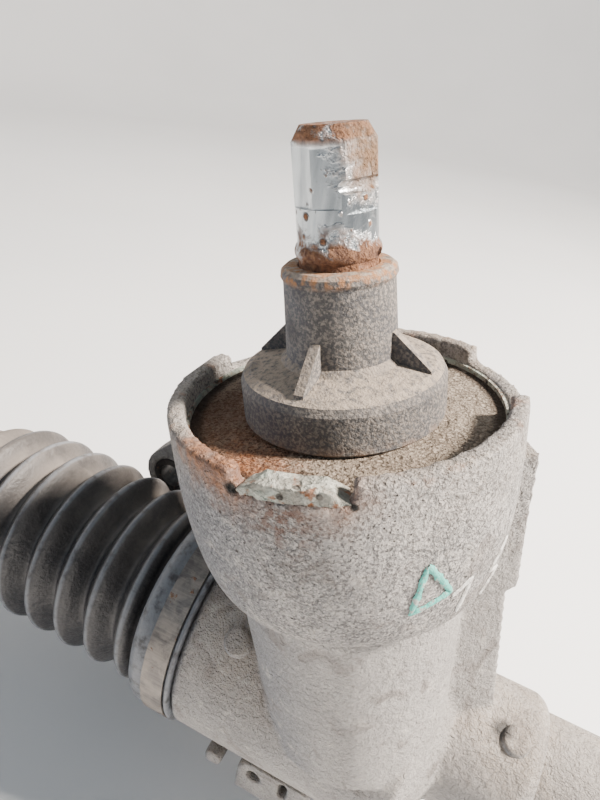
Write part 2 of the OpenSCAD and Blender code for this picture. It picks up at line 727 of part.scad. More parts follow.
module dust_cap() color("dimgray") on_tower(cover_h + cover_t) {
    top = shaft_rise / 2 + 1 + 5.6;
    difference() {
        union() {
            rotate_extrude() polygon([
                [0, 0], [cap_r - 1, 0], [cap_r, 1], [cap_r, 9.5], [cap_r - 0.8, 11.2], [cap_r - 2.6, 12.2],
                [14, 13.6], [12.6, 15], [12.1, top - 3], [12.6, top - 2], [12.4, top - 0.8],
                [11.4, top], [0, top]
            ]);
            for (a = [-94:90:176]) rotate([0, 0, a]) translate([0, 1.1, 0]) rotate([90, 0, 0])
                linear_extrude(height = 2.2) polygon([[11, 9], [cap_r - 2.2, 11], [cap_r - 2.4, 12.8],
                    [12.9, 20.5], [11, 21]]);
        }
        rotate_extrude() polygon([[0, -1], [cap_r - 2.6, -1], [cap_r - 2.6, 8], [shaft_d / 2 + 1.4, 11.5],
            [shaft_d / 2 + 1.4, top - 3], [shaft_d / 2 + 0.3, top - 2.4], [shaft_d / 2 + 0.3, top + 1],
            [0, top + 1]]);
    }
}

gear_housing();
rack_tube();
end_housing();
mount_inserts();
rack_bush();
bush_ring();
yoke();
yoke_liner();
yoke_spring();
yoke_o_ring();
yoke_plug();
yoke_lock_nut();
bearing_outer_race();
bearing_retainer();
needle_cup();
end_cap();
sensor_stator();
port_cover();
port_screws();
tower_cover();
crimp_ring();
shaft_seal();
dust_cap();
left_boot_band();
right_boot_band();
rack_bar();
left_socket();
right_socket();
lock_washers();
left_boot();
right_boot();
pinion();
bearing_inner_race();
bearing_nut();
torsion_bar();
lower_pin();
sensor_sleeve();
input_shaft();
sensor_rotor();
upper_pin();
bearing_balls();
bearing_cage();
needle_rollers();
needle_cage();
left_ball_seat();
left_tie_rod();
left_jam_nut();
left_boot_clip();
right_ball_seat();
right_tie_rod();
right_jam_nut();
right_boot_clip();
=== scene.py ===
import json
import math
import bpy
from mathutils import Matrix, Vector, noise


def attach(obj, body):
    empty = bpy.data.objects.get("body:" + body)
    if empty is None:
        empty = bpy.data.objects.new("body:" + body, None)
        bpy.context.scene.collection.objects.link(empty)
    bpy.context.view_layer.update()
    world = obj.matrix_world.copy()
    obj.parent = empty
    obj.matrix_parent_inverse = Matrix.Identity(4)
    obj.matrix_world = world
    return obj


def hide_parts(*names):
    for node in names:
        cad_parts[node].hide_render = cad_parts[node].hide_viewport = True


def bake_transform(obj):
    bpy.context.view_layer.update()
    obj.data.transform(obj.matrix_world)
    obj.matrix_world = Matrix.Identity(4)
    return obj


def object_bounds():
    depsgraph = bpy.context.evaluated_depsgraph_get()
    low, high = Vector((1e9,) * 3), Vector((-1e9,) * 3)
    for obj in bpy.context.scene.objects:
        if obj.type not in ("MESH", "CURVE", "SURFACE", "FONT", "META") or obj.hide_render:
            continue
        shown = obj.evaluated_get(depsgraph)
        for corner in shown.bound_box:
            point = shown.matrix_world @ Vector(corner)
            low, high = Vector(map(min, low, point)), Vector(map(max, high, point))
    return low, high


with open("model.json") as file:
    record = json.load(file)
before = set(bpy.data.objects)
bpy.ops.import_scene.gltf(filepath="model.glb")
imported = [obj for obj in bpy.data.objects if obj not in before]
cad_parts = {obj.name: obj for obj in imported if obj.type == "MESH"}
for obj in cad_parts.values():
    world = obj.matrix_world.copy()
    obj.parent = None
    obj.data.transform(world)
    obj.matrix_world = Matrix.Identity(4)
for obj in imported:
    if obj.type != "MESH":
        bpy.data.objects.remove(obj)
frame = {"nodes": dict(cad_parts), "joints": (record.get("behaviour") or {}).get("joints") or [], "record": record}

cad_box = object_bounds()
SCENE = bpy.context.scene

# ---- places, from the frame ----

pinion = next(j for j in frame["joints"] if j["name"] == "pinion_turn")
UP = Vector(pinion["axis"]).normalized()
FOOT = Vector(pinion["pos_m"])
SIDE = Vector((0, 1, 0)).cross(UP)
TOWER = Matrix((SIDE, Vector((0, 1, 0)), UP)).transposed()
RACK_Y = -0.046
BALL_X = 0.335
DROOP = math.radians(10)
MM = 0.001
RIM_R = 41.0
RIM_H = 119.5
STEP_R = RIM_R - 7
STEP_H = RIM_H - 46


def tower(x, y, h):
    """A point of the leaning tower, in mm, to the row frame in metres."""
    return FOOT + TOWER @ (Vector((x, y, h)) * MM)


def polar(r, bearing, h):
    a = math.radians(bearing)
    return tower(r * math.cos(a), r * math.sin(a), h)


def cup_radius(h):
    """Outer radius of the sensor cup at height h, in mm."""
    best = STEP_R
    for i in range(0, 91):
        a = math.radians(i)
        if RIM_H - 12 - (RIM_H - 12 - STEP_H) * math.cos(a) * math.cos(a / 3) <= h:
            best = STEP_R + (RIM_R - STEP_R) * math.sin(a)
    return best


# ---- camera: fitted to the tower's rings in the photograph ----

AZIMUTH, ELEVATION, ROLL = 26.5, 26.54, -4.34
LENS = 27.45
CAMERA_OUT, CAMERA_LEFT, CAMERA_DOWN = 143.21, 10.4, 2.84


def make_camera():
    a, e, roll = (math.radians(v) for v in (AZIMUTH, ELEVATION, ROLL))
    back = Vector((math.sin(a) * math.cos(e), -math.cos(a) * math.cos(e), math.sin(e)))
    right = Vector((math.cos(a), math.sin(a), 0))
    up = back.cross(right)
    place = Vector((0, 0, -CAMERA_DOWN)) + back * CAMERA_OUT - right * CAMERA_LEFT
    across = right * math.cos(roll) + up * math.sin(roll)
    above = up * math.cos(roll) - right * math.sin(roll)
    camera = bpy.data.objects.new("camera", bpy.data.cameras.new("camera"))
    camera.data.lens = LENS
    camera.data.clip_start = 0.005
    turn = TOWER @ Matrix((across, above, back)).transposed()
    spot = tower(0, 0, RIM_H) + TOWER @ (place * MM)
    camera.matrix_world = Matrix.Translation(spot) @ turn.to_4x4()
    SCENE.collection.objects.link(camera)
    SCENE.camera = camera


make_camera()


# ---- material tools ----

class Surface:
    """A Principled material whose inputs are built from noise in the row frame's metres."""

    def __init__(self, name, rough=0.6, metal=0.0, specular=0.5):
        self.mat = bpy.data.materials.new(name)
        self.mat.use_nodes = True
        self.tree = self.mat.node_tree
        self.out = self.tree.nodes["Principled BSDF"]
        self.out.inputs["Roughness"].default_value = rough
        self.out.inputs["Metallic"].default_value = metal
        self.out.inputs["Specular IOR Level"].default_value = specular
        co = self.node("ShaderNodeTexCoord")
        self.place = co.outputs["Object"]
        self.normal = co.outputs["Normal"]

    def node(self, kind, **values):
        n = self.tree.nodes.new(kind)
        for k, v in values.items():
            setattr(n, k, v)
        return n

    def put(self, socket, value):
        if isinstance(value, bpy.types.NodeSocket):
            self.tree.links.new(value, socket)
        elif isinstance(value, tuple) and len(value) == 3 and socket.type == "RGBA":
            socket.default_value = (*value, 1)
        else:
            socket.default_value = value

    def math(self, kind, a, b=0.0, c=0.0, clamp=False):
        n = self.node("ShaderNodeMath", operation=kind, use_clamp=clamp)
        for s, v in zip(n.inputs, (a, b, c)):
            self.put(s, v)
        return n.outputs[0]

    def ramp(self, value, low, high, to_low=0.0, to_high=1.0):
        n = self.node("ShaderNodeMapRange", interpolation_type="SMOOTHSTEP")
        for s, v in zip(n.inputs, (value, low, high, to_low, to_high)):
            self.put(s, v)
        return n.outputs[0]

    def noise(self, scale, detail=3.0, low=0.4, high=0.6, warp=0.0, stretch=None):
        at = self.place
        if stretch:
            m = self.node("ShaderNodeMapping")
            self.put(m.inputs["Vector"], at)
            m.inputs["Scale"].default_value = stretch
            at = m.outputs[0]
        n = self.node("ShaderNodeTexNoise")
        self.put(n.inputs["Vector"], at)
        n.inputs["Scale"].default_value = scale
        n.inputs["Detail"].default_value = detail
        n.inputs["Roughness"].default_value = 0.6
        n.inputs["Distortion"].default_value = warp
        return self.ramp(n.outputs["Fac"], low, high)

    def spots(self, scale, size, soft=0.1, share=0.5):
        """Round spots: one in some of the cells of a Voronoi pattern."""
        n = self.node("ShaderNodeTexVoronoi")
        self.put(n.inputs["Vector"], self.place)
        n.inputs["Scale"].default_value = scale
        spot = self.ramp(n.outputs["Distance"], size + soft, size - soft * 0.2)
        part = self.node("ShaderNodeSeparateColor")
        self.put(part.inputs[0], n.outputs["Color"])
        return self.math("MULTIPLY", spot, self.ramp(part.outputs[0], 1 - share, 1 - share + 0.05))

    def mix(self, fac, a, b):
        n = self.node("ShaderNodeMix", data_type="RGBA")
        self.put(n.inputs["Factor"], fac)
        self.put(n.inputs[6], a)
        self.put(n.inputs[7], b)
        return n.outputs[2]

    def height(self):
        """Height along the tower above its foot, in metres."""
        return self.along(FOOT, UP)

    def along(self, origin, direction):
        shift = self.node("ShaderNodeVectorMath", operation="SUBTRACT")
        self.put(shift.inputs[0], self.place)
        shift.inputs[1].default_value = origin
        n = self.node("ShaderNodeVectorMath", operation="DOT_PRODUCT")
        self.put(n.inputs[0], shift.outputs[0])
        n.inputs[1].default_value = direction
        return n.outputs["Value"]

    def near(self, point, inner, outer, rough=0.0, scale=200.0):
        """1 within inner of a point, falling to 0 at outer, with a ragged edge."""
        n = self.node("ShaderNodeVectorMath", operation="DISTANCE")
        self.put(n.inputs[0], self.place)
        n.inputs[1].default_value = point
        d = n.outputs["Value"]
        if rough:
            d = self.math("ADD", d, self.math("MULTIPLY", self.noise(scale, 4, 0.2, 0.8), rough))
        return self.ramp(d, outer + rough, inner + rough * 0.3)

    def off_axis(self, origin, direction):
        """Distance from an axis, in metres."""
        shift = self.node("ShaderNodeVectorMath", operation="SUBTRACT")
        self.put(shift.inputs[0], self.place)
        shift.inputs[1].default_value = origin
        n = self.node("ShaderNodeVectorMath", operation="CROSS_PRODUCT")
        self.put(n.inputs[0], shift.outputs[0])
        n.inputs[1].default_value = direction
        length = self.node("ShaderNodeVectorMath", operation="LENGTH")
        self.put(length.inputs[0], n.outputs[0])
        return length.outputs["Value"]

    def facing(self, direction, low=0.0, high=1.0):
        """How far the surface faces a direction of the row frame."""
        n = self.node("ShaderNodeVectorMath", operation="DOT_PRODUCT")
        self.put(n.inputs[0], self.normal)
        n.inputs[1].default_value = Vector(direction).normalized()
        return self.ramp(n.outputs["Value"], low, high)

    def bump(self, *layers):
        """Layers of (height value, depth in metres), added one over the other."""
        last = None
        for value, depth in layers:
            n = self.node("ShaderNodeBump")
            n.inputs["Strength"].default_value = 1.0
            n.inputs["Distance"].default_value = depth
            self.put(n.inputs["Height"], value)
            if last:
                self.put(n.inputs["Normal"], last)
            last = n.outputs[0]
        self.put(self.out.inputs["Normal"], last)

    def colour(self, value):
        self.put(self.out.inputs["Base Color"], value)

    def rough(self, value):
        self.put(self.out.inputs["Roughness"], value)

    def metal(self, value):
        self.put(self.out.inputs["Metallic"], value)


MATERIALS = {}


def surface(name, **values):
    s = Surface(name, **values)
    MATERIALS[name] = s.mat
    return s


# ---- materials ----

BLOCK_HOLLOW = Vector((-0.1357, RACK_Y - 0.0072, 0.0207))
# scales of the mottle on steel and on moulded pieces
STEEL_SCALE = 180
MOULD_SCALE = 300
RUST = (0.235, 0.098, 0.045)
TAN = (0.44, 0.36, 0.285)


def cast_aluminium():
    s = surface("cast_aluminium", rough=0.72, specular=0.3)
    grain = s.noise(1700, 2, 0.42, 0.58)
    coarse = s.noise(520, 4, 0.38, 0.62)
    cloud = s.noise(46, 4, 0.36, 0.64, warp=0.6)
    patch = s.noise(24, 5, 0.42, 0.62, warp=1.0)
    base = s.mix(cloud, (0.20, 0.195, 0.19), (0.33, 0.315, 0.30))
    # below the cup the skin is smoother, and it is painted paler all round: a painted highlight for the light that
    # falls on the neck
    wall = s.ramp(s.height(), 0.070, 0.080)
    base = s.mix(s.math("MULTIPLY", s.math("SUBTRACT", 1.0, wall), 0.45), base, (0.46, 0.43, 0.40))
    base = s.mix(s.math("MULTIPLY", grain, s.ramp(wall, 0, 1, 0.22, 0.55)), base, (0.56, 0.52, 0.48))
    base = s.mix(s.math("MULTIPLY", s.noise(1300, 2, 0.50, 0.62), s.ramp(wall, 0, 1, 0.20, 0.75)), base,
                 (0.085, 0.08, 0.08))
    # painted shade: a bluish darkening on the side that faces away from the rack tube and away from the key light
    painted_shade_side = s.facing((-0.97, -0.25, 0), 0.05, 0.75)
    bluish = s.mix(grain, (0.085, 0.095, 0.115), (0.19, 0.21, 0.245))
    base = s.mix(s.math("MULTIPLY", painted_shade_side, 0.62), base, bluish)
    # tan dust lies on what faces up and about the rim
    up = s.facing((-0.1, -0.1, 1), 0.1, 0.9)
    rim = s.ramp(s.height(), 0.100, 0.121)
    dust = s.math("MAXIMUM", s.math("MULTIPLY", up, 0.7), s.math("MULTIPLY", rim, 0.4))
    dust = s.math("MULTIPLY", dust, s.math("ADD", s.math("MULTIPLY", patch, 0.6), 0.4), clamp=True)
    base = s.mix(s.math("MULTIPLY", dust, s.ramp(grain, 0, 1, 0.6, 1.0)), base, (0.36, 0.29, 0.225))
    stain = s.math("MULTIPLY", s.noise(85, 5, 0.54, 0.68, warp=0.8), 0.5)
    base = s.mix(stain, base, (0.15, 0.125, 0.11))
    pale = s.math("MULTIPLY", s.noise(130, 5, 0.56, 0.68, warp=1.2), 0.35)
    base = s.mix(pale, base, (0.62, 0.57, 0.51))
    # pits, dark and of two sizes
    pits = s.math("MAXIMUM", s.spots(420, 0.13, 0.07, 0.30), s.spots(900, 0.16, 0.08, 0.30))
    pitted = s.math("MULTIPLY", s.ramp(wall, 0, 1, 0.2, 1.0), s.noise(60, 2, 0.35, 0.6))
    pits = s.math("MULTIPLY", pits, pitted)
    base = s.mix(s.math("MULTIPLY", pits, 0.9), base, (0.03, 0.026, 0.024))
    # rust that ran from the crimp, and the open ends of its notch
    rust = s.math("MAXIMUM", s.near(polar(38.5, -104, RIM_H - 0.5), 0.002, 0.010, 0.006, 300),
                  s.near(polar(38.5, -116, RIM_H), 0.001, 0.008, 0.006, 300))
    notch = s.near(polar(41, -72, RIM_H - 2), 0.001, 0.008, 0.006, 260)
    rust = s.math("MAXIMUM", rust, s.math("MULTIPLY", notch, 0.6))
    edge = s.math("MULTIPLY", s.ramp(s.height(), 0.1165, 0.1195), s.noise(150, 4, 0.55, 0.70))
    rust = s.math("MAXIMUM", s.math("MULTIPLY", rust, 0.85), s.math("MULTIPLY", edge, 0.4))
    scar = s.near(polar(41, -86, RIM_H - 8), 0.001, 0.012, 0.006, 300)
    base = s.mix(s.math("MULTIPLY", scar, s.noise(300, 4, 0.45, 0.6)), base, (0.14, 0.075, 0.055))
    base = s.mix(rust, base, s.mix(coarse, (0.17, 0.07, 0.035), (0.36, 0.15, 0.06)))
    # painted shade: near-black spots in the gaps at the two ends of the crimp tab
    gap_shade = s.math("MAXIMUM", s.near(polar(41, -100.6, RIM_H - 4), 0.0009, 0.0017, 0.0006, 900),
                  s.near(polar(41, -66.6, RIM_H - 4.4), 0.0005, 0.0010, 0.0004, 900))
    base = s.mix(gap_shade, base, (0.008, 0.007, 0.006))
    shade = s.near(BLOCK_HOLLOW, 0.0014, 0.0042, 0.0008, 400)
    base = s.mix(s.math("MULTIPLY", shade, 0.85), base, (0.045, 0.045, 0.045))
    s.colour(base)
    s.rough(s.ramp(grain, 0, 1, 0.65, 0.9))
    s.bump((cloud, 0.0004), (coarse, 0.00035), (grain, 0.00014), (s.math("SUBTRACT", 1.0, pits), 0.0003))


def dusty_cover():
    s = surface("dusty_cover", rough=0.95, specular=0.12)
    grain = s.noise(1500, 3, 0.42, 0.58)
    cloud = s.noise(75, 5, 0.38, 0.62, warp=0.8)
    base = s.mix(cloud, (0.15, 0.112, 0.082), (0.27, 0.215, 0.165))
    base = s.mix(s.math("MULTIPLY", grain, 0.5), base, (0.46, 0.38, 0.30))
    base = s.mix(s.math("MULTIPLY", s.noise(1250, 2, 0.50, 0.62), 0.8), base, (0.055, 0.038, 0.028))
    # red-brown rust at the left and front, the left also darkened as a painted shadow cast by the cap; paler at
    # the right and behind, a painted highlight
    left = s.near(polar(27, 205, RIM_H - 6), 0.006, 0.024, 0.010, 150)
    base = s.mix(s.math("MULTIPLY", left, 0.6), base, (0.13, 0.055, 0.030))
    front = s.near(polar(35, 250, RIM_H - 6), 0.002, 0.015, 0.008, 220)
    flaky = s.mix(grain, (0.15, 0.045, 0.018), (0.36, 0.14, 0.055))
    base = s.mix(s.math("MULTIPLY", front, 0.75), base, flaky)
    # painted highlight: the lit right side of the cover is made paler
    right = s.near(polar(30, 30, RIM_H - 6), 0.008, 0.040, 0.010, 90)
    base = s.mix(s.math("MULTIPLY", right, s.ramp(grain, 0, 1, 0.2, 0.55)), base, (0.45, 0.385, 0.315))
    # dark groove close to the rim
    r = s.off_axis(FOOT, UP)
    groove = s.math("MULTIPLY", s.ramp(r, 0.0325, 0.0350), s.noise(180, 3, 0.2, 0.45))
    base = s.mix(s.math("MULTIPLY", groove, 0.85), base, (0.035, 0.025, 0.02))
    s.colour(base)
    s.bump((cloud, 0.0006), (s.noise(450, 3, 0.3, 0.7), 0.0004), (grain, 0.00025))


def cap_rubber():
    s = surface("cap_rubber", rough=0.85, specular=0.2)
    grain = s.noise(1900, 2, 0.43, 0.57)
    speck = s.noise(1300, 3, 0.45, 0.58)
    cloud = s.noise(45, 3, 0.35, 0.65, warp=0.5)
    base = s.mix(cloud, (0.085, 0.085, 0.090), (0.130, 0.122, 0.115))
    base = s.mix(s.math("MULTIPLY", speck, s.ramp(cloud, 0, 1, 0.45, 0.7)), base, (0.33, 0.285, 0.245))
    base = s.mix(s.math("MULTIPLY", grain, 0.3), base, (0.045, 0.045, 0.048))
    # painted shade: a cool bluish tint on the side that faces away from the key light
    painted_shade_side = s.facing((-0.97, -0.25, 0), 0.2, 0.8)
    base = s.mix(s.math("MULTIPLY", painted_shade_side, 0.3), base, (0.15, 0.165, 0.20))
    up = s.facing(UP, 0.3, 0.95)
    base = s.mix(s.math("MULTIPLY", up, s.noise(700, 4, 0.30, 0.60)), base, (0.36, 0.295, 0.235))
    blot = s.math("MULTIPLY", s.spots(95, 0.17, 0.26, 0.45), 0.55)
    base = s.mix(blot, base, (0.055, 0.055, 0.06))
    # rust dust washed on to the lip
    lip = s.ramp(s.height(), 0.1452, 0.1472)
    base = s.mix(s.math("MULTIPLY", lip, s.noise(420, 4, 0.42, 0.62)), base, (0.33, 0.17, 0.085))
    foot = s.math("MULTIPLY", s.ramp(s.height(), 0.1175, 0.1145), s.noise(300, 4, 0.45, 0.62))
    base = s.mix(s.math("MULTIPLY", foot, 0.6), base, (0.23, 0.16, 0.12))
    s.colour(base)
    s.bump((cloud, 0.0002), (s.noise(500, 3, 0.3, 0.7), 0.00012), (grain, 0.00008))


def rusty_steel():
    s = surface("rusty_steel", rough=0.4, metal=1.0)
    h = s.height()
    flake = s.noise(230, 5, 0.35, 0.65, warp=0.4)
    fine = s.noise(1100, 4, 0.3, 0.7)
    clean = s.mix(s.noise(260, 3, 0.3, 0.7, stretch=(1, 1, 0.15)), (0.30, 0.33, 0.35), (0.58, 0.62, 0.64))
    rust = s.mix(flake, (0.065, 0.028, 0.018), (0.20, 0.085, 0.040))
    rust = s.mix(s.math("MULTIPLY", fine, 0.45), rust, (0.40, 0.20, 0.10))
    # the flats are bright; below them, on the chamfer and round the bead it is rust
    top = (RIM_H + 56) * MM
    below = s.ramp(s.math("ADD", h, s.math("MULTIPLY", flake, 0.006)), top - 0.0165, top - 0.0215)
    chamfer = s.math("MULTIPLY", s.ramp(h, top - 0.0042, top - 0.0022), s.noise(420, 4, 0.28, 0.5))
    spots = s.math("MAXIMUM", s.spots(420, 0.22, 0.2, 0.22), s.noise(190, 5, 0.62, 0.70))
    olive = s.near(polar(9, -8, RIM_H + 50), 0.002, 0.0085, 0.005, 500)
    amount = s.math("MAXIMUM", s.math("MAXIMUM", below, chamfer), s.math("MAXIMUM", spots, olive), clamp=True)
    base = s.mix(amount, clean, rust)
    base = s.mix(s.math("MULTIPLY", olive, 0.6), base, (0.17, 0.115, 0.065))
    s.colour(base)
    s.metal(s.ramp(amount, 0.2, 0.8, 0.95, 0.0))
    s.rough(s.ramp(amount, 0.1, 0.7, 0.27, 0.92))
    s.bump((s.math("MULTIPLY", amount, flake), 0.0006), (s.math("MULTIPLY", amount, fine), 0.0003),
           (s.noise(900, 2, 0.3, 0.7, stretch=(1, 1, 0.1)), 0.00003))


def boot_rubber():
    s = surface("boot_rubber", rough=0.5, specular=0.4)
    r = s.off_axis((0, RACK_Y, 0), (1, 0, 0))
    cloud = s.noise(55, 4, 0.35, 0.65, warp=0.5)
    fine = s.noise(900, 3, 0.35, 0.65)
    base = s.mix(cloud, (0.018, 0.019, 0.023), (0.040, 0.040, 0.043))
    up = s.facing((0.1, 0.35, 0.94), 0.15, 0.95)
    dust = s.math("MULTIPLY", s.math("MULTIPLY", up, s.ramp(r, 0.0335, 0.0285, 0.45, 1.0)),
                  s.ramp(cloud, 0, 1, 0.6, 1.0))
    base = s.mix(s.math("MULTIPLY", dust, 0.85), base, (0.25, 0.215, 0.185))
    # painted highlight: thin blue-grey lines along the fold crests
    crest = s.math("MULTIPLY", s.ramp(r, 0.0334, 0.0340), s.noise(240, 3, 0.25, 0.55))
    base = s.mix(s.math("MULTIPLY", crest, 0.6), base, (0.24, 0.26, 0.29))
    base = s.mix(s.math("MULTIPLY", fine, 0.10), base, (0.22, 0.20, 0.18))
    s.colour(base)
    s.rough(s.ramp(dust, 0, 1, 0.42, 0.85))
    s.bump((cloud, 0.0003), (fine, 0.00005))


def cover_ring():
    s = surface("cover_ring", rough=0.85, specular=0.3)
    lump = s.noise(240, 5, 0.35, 0.65, warp=0.6)
    fine = s.noise(1200, 3, 0.3, 0.7)
    base = s.mix(lump, (0.23, 0.22, 0.185), (0.50, 0.50, 0.43))
    base = s.mix(s.math("MULTIPLY", s.noise(150, 4, 0.5, 0.62), 0.5), base, (0.32, 0.42, 0.36))
    base = s.mix(s.noise(330, 5, 0.52, 0.64), base, RUST)
    base = s.mix(s.math("MULTIPLY", s.spots(420, 0.28, 0.12, 0.35), 0.9), base, (0.03, 0.022, 0.018))
    base = s.mix(s.math("MULTIPLY", fine, 0.25), base, (0.60, 0.57, 0.50))
    s.colour(base)
    s.bump((lump, 0.0007), (fine, 0.0002))


def worn_steel(name, dark, light, rust_share, rough, metal):
    """Steel with brushed variation, scuffs and a share of rust."""
    s = surface(name, rough=rough, metal=metal)
    cloud = s.noise(STEEL_SCALE, 4, 0.35, 0.65, warp=0.4)
    brushed = s.noise(STEEL_SCALE * 6, 2, 0.35, 0.65, stretch=(0.08, 1, 1))
    base = s.mix(cloud, dark, light)
    base = s.mix(s.math("MULTIPLY", brushed, 0.2), base, tuple(min(1, c * 1.5) for c in light))
    rust = s.noise(STEEL_SCALE * 1.6, 5, 0.72 - rust_share * 0.35, 0.80 - rust_share * 0.35)
    base = s.mix(s.math("MULTIPLY", rust, 0.85), base, (0.19, 0.095, 0.05))
    s.colour(base)
    dull = s.math("MAXIMUM", rust, s.math("MULTIPLY", cloud, 0.4))
    s.rough(s.ramp(dull, 0, 1, rough * 0.75, min(1, rough * 1.5)))
    s.metal(s.ramp(rust, 0.2, 0.9, metal, metal * 0.1))
    s.bump((cloud, 0.00008), (brushed, 0.00003), (rust, 0.00012))


def moulded(name, dark, light, rough):
    """Plastic or rubber with a slight mottle, a fine moulded grain and some dust."""
    s = surface(name, rough=rough, specular=0.4)
    cloud = s.noise(MOULD_SCALE * 0.3, 4, 0.35, 0.65, warp=0.4)
    grain = s.noise(MOULD_SCALE * 5, 2, 0.35, 0.65)
    base = s.mix(cloud, dark, light)
    base = s.mix(s.math("MULTIPLY", s.facing((0, 0, 1), 0.3, 1.0), s.math("MULTIPLY", cloud, 0.3)), base, TAN)
    s.colour(base)
    s.rough(s.ramp(grain, 0, 1, rough * 0.85, min(1, rough * 1.15)))
    s.bump((cloud, 0.0001), (grain, 0.00006))


def paint(name, colour):
    s = surface(name, rough=0.75, specular=0.3)
    wear = s.noise(520, 4, 0.52, 0.60)
    base = s.mix(s.noise(200, 3, 0.3, 0.7), tuple(c * 0.8 for c in colour), colour)
    s.colour(s.mix(s.math("MULTIPLY", wear, 0.85), base, (0.42, 0.39, 0.36)))
    s.bump((s.noise(1400, 2, 0.3, 0.7), 0.00012))


cast_aluminium()
dusty_cover()
cap_rubber()
rusty_steel()
boot_rubber()
cover_ring()
worn_steel("machined_aluminium", (0.48, 0.48, 0.49), (0.66, 0.66, 0.67), 0.0, 0.35, 1.0)
worn_steel("rack_steel", (0.36, 0.37, 0.39), (0.56, 0.57, 0.60), 0.05, 0.25, 1.0)
worn_steel("bearing_steel", (0.56, 0.57, 0.60), (0.74, 0.75, 0.78), 0.0, 0.14, 1.0)
worn_steel("black_steel", (0.030, 0.030, 0.033), (0.075, 0.072, 0.070), 0.30, 0.5, 0.6)
worn_steel("zinc_plate", (0.40, 0.38, 0.31), (0.58, 0.56, 0.47), 0.15, 0.38, 0.9)
worn_steel("clamp_steel", (0.11, 0.10, 0.095), (0.25, 0.225, 0.20), 0.30, 0.6, 0.55)
worn_steel("spring_steel", (0.16, 0.17, 0.19), (0.30, 0.31, 0.34), 0.05, 0.35, 1.0)
worn_steel("sensor_metal", (0.36, 0.37, 0.36), (0.50, 0.52, 0.50), 0.0, 0.45, 0.9)
moulded("seal_rubber", (0.014, 0.014, 0.015), (0.035, 0.034, 0.033), 0.55)
moulded("bearing_polymer", (0.58, 0.54, 0.44), (0.74, 0.70, 0.60), 0.5)
moulded("liner_polymer", (0.20, 0.12, 0.065), (0.33, 0.21, 0.12), 0.6)
moulded("cage_polymer", (0.060, 0.085, 0.055), (0.12, 0.16, 0.11), 0.55)
moulded("sensor_plastic", (0.016, 0.016, 0.018), (0.040, 0.040, 0.043), 0.5)
paint("teal_mark", (0.13, 0.52, 0.44))
paint("chalk_mark", (0.72, 0.70, 0.66))

SLOTS = {p["node"]: p["material_slot"] for p in frame["record"]["subparts"]}
for name, node in frame["nodes"].items():
    node.data.materials.clear()
    node.data.materials.append(MATERIALS[SLOTS[name]])


# ---- pieces ----

def piece(name, verts, faces, material):
    """A smooth shaded mesh object in one of the materials."""
    mesh = bpy.data.meshes.new(name)
    mesh.from_pydata([tuple(v) for v in verts], [], faces)
    mesh.validate()
    mesh.update()
    mesh.materials.append(MATERIALS[material])
    mesh.polygons.foreach_set("use_smooth", [True] * len(mesh.polygons))
    ob = bpy.data.objects.new(name, mesh)
    SCENE.collection.objects.link(ob)
    return ob


def evaluated(ob):
    """The object with its modifiers applied to its mesh."""
    bpy.context.view_layer.update()
    mesh = bpy.data.meshes.new_from_object(ob.evaluated_get(bpy.context.evaluated_depsgraph_get()))
    ob.modifiers.clear()
    ob.data = mesh
    return ob


def softened(name, node, voxel, steps):
    """A copy of a casting with its edges rounded, as sand or die casting leaves them."""
    ob = bpy.data.objects.new(name, frame["nodes"][node].data.copy())
    SCENE.collection.objects.link(ob)
    remesh = ob.modifiers.new("remesh", "REMESH")
    remesh.mode = "VOXEL"
    remesh.voxel_size = voxel
    relax = ob.modifiers.new("relax", "SMOOTH")
    relax.factor = 0.5
    relax.iterations = steps
    evaluated(ob)
    ob.data.materials.clear()
    ob.data.materials.append(MATERIALS["cast_aluminium"])
    ob.data.polygons.foreach_set("use_smooth", [True] * len(ob.data.polygons))
    return ob


housing = softened("cast_housing", "gear_housing", 0.0009, 3)
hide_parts("gear_housing")
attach(housing, "housing")
far_housing = softened("cast_end", "end_housing", 0.0016, 4)
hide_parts("end_housing")
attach(far_housing, "housing")


# Bellows boots. s runs out along the boot from where it starts on the casting, in mm.
START = 231.0
PITCH = 12.7
FIRST = 23.0
FOLDS = 11
WALL = 1.4
# samples across one fold, closer together at its crest
HALF_STEPS = (0.035, 0.07, 0.11, 0.16, 0.23, 0.31, 0.38, 0.44)
FOLD_STEPS = [-u for u in reversed(HALF_STEPS)] + [0, *HALF_STEPS, 0.5]
BALL_S = BALL_X / MM - START
END_S = BALL_S + 80


def smooth(t):
    t = min(1.0, max(0.0, t))
    return t * t * (3 - 2 * t)


def boot_line(s):
    """Centre of the boot at s and its droop there."""
    n = 60
    x = z = 0.0
    for i in range(n):
        a = DROOP * smooth(((i + 0.5) * s / n - BALL_S + 22) / 44)
        x += math.cos(a) * s / n
        z -= math.sin(a) * s / n
    return START + x, z, DROOP * smooth((s - BALL_S - 14) / 30)


def fold_size(i):
    """Crest and valley radius of fold i."""
    slim = max(0.0, i - 6.2)
    return 34.0 - 3.6 * slim, 27.2 - 3.0 * slim


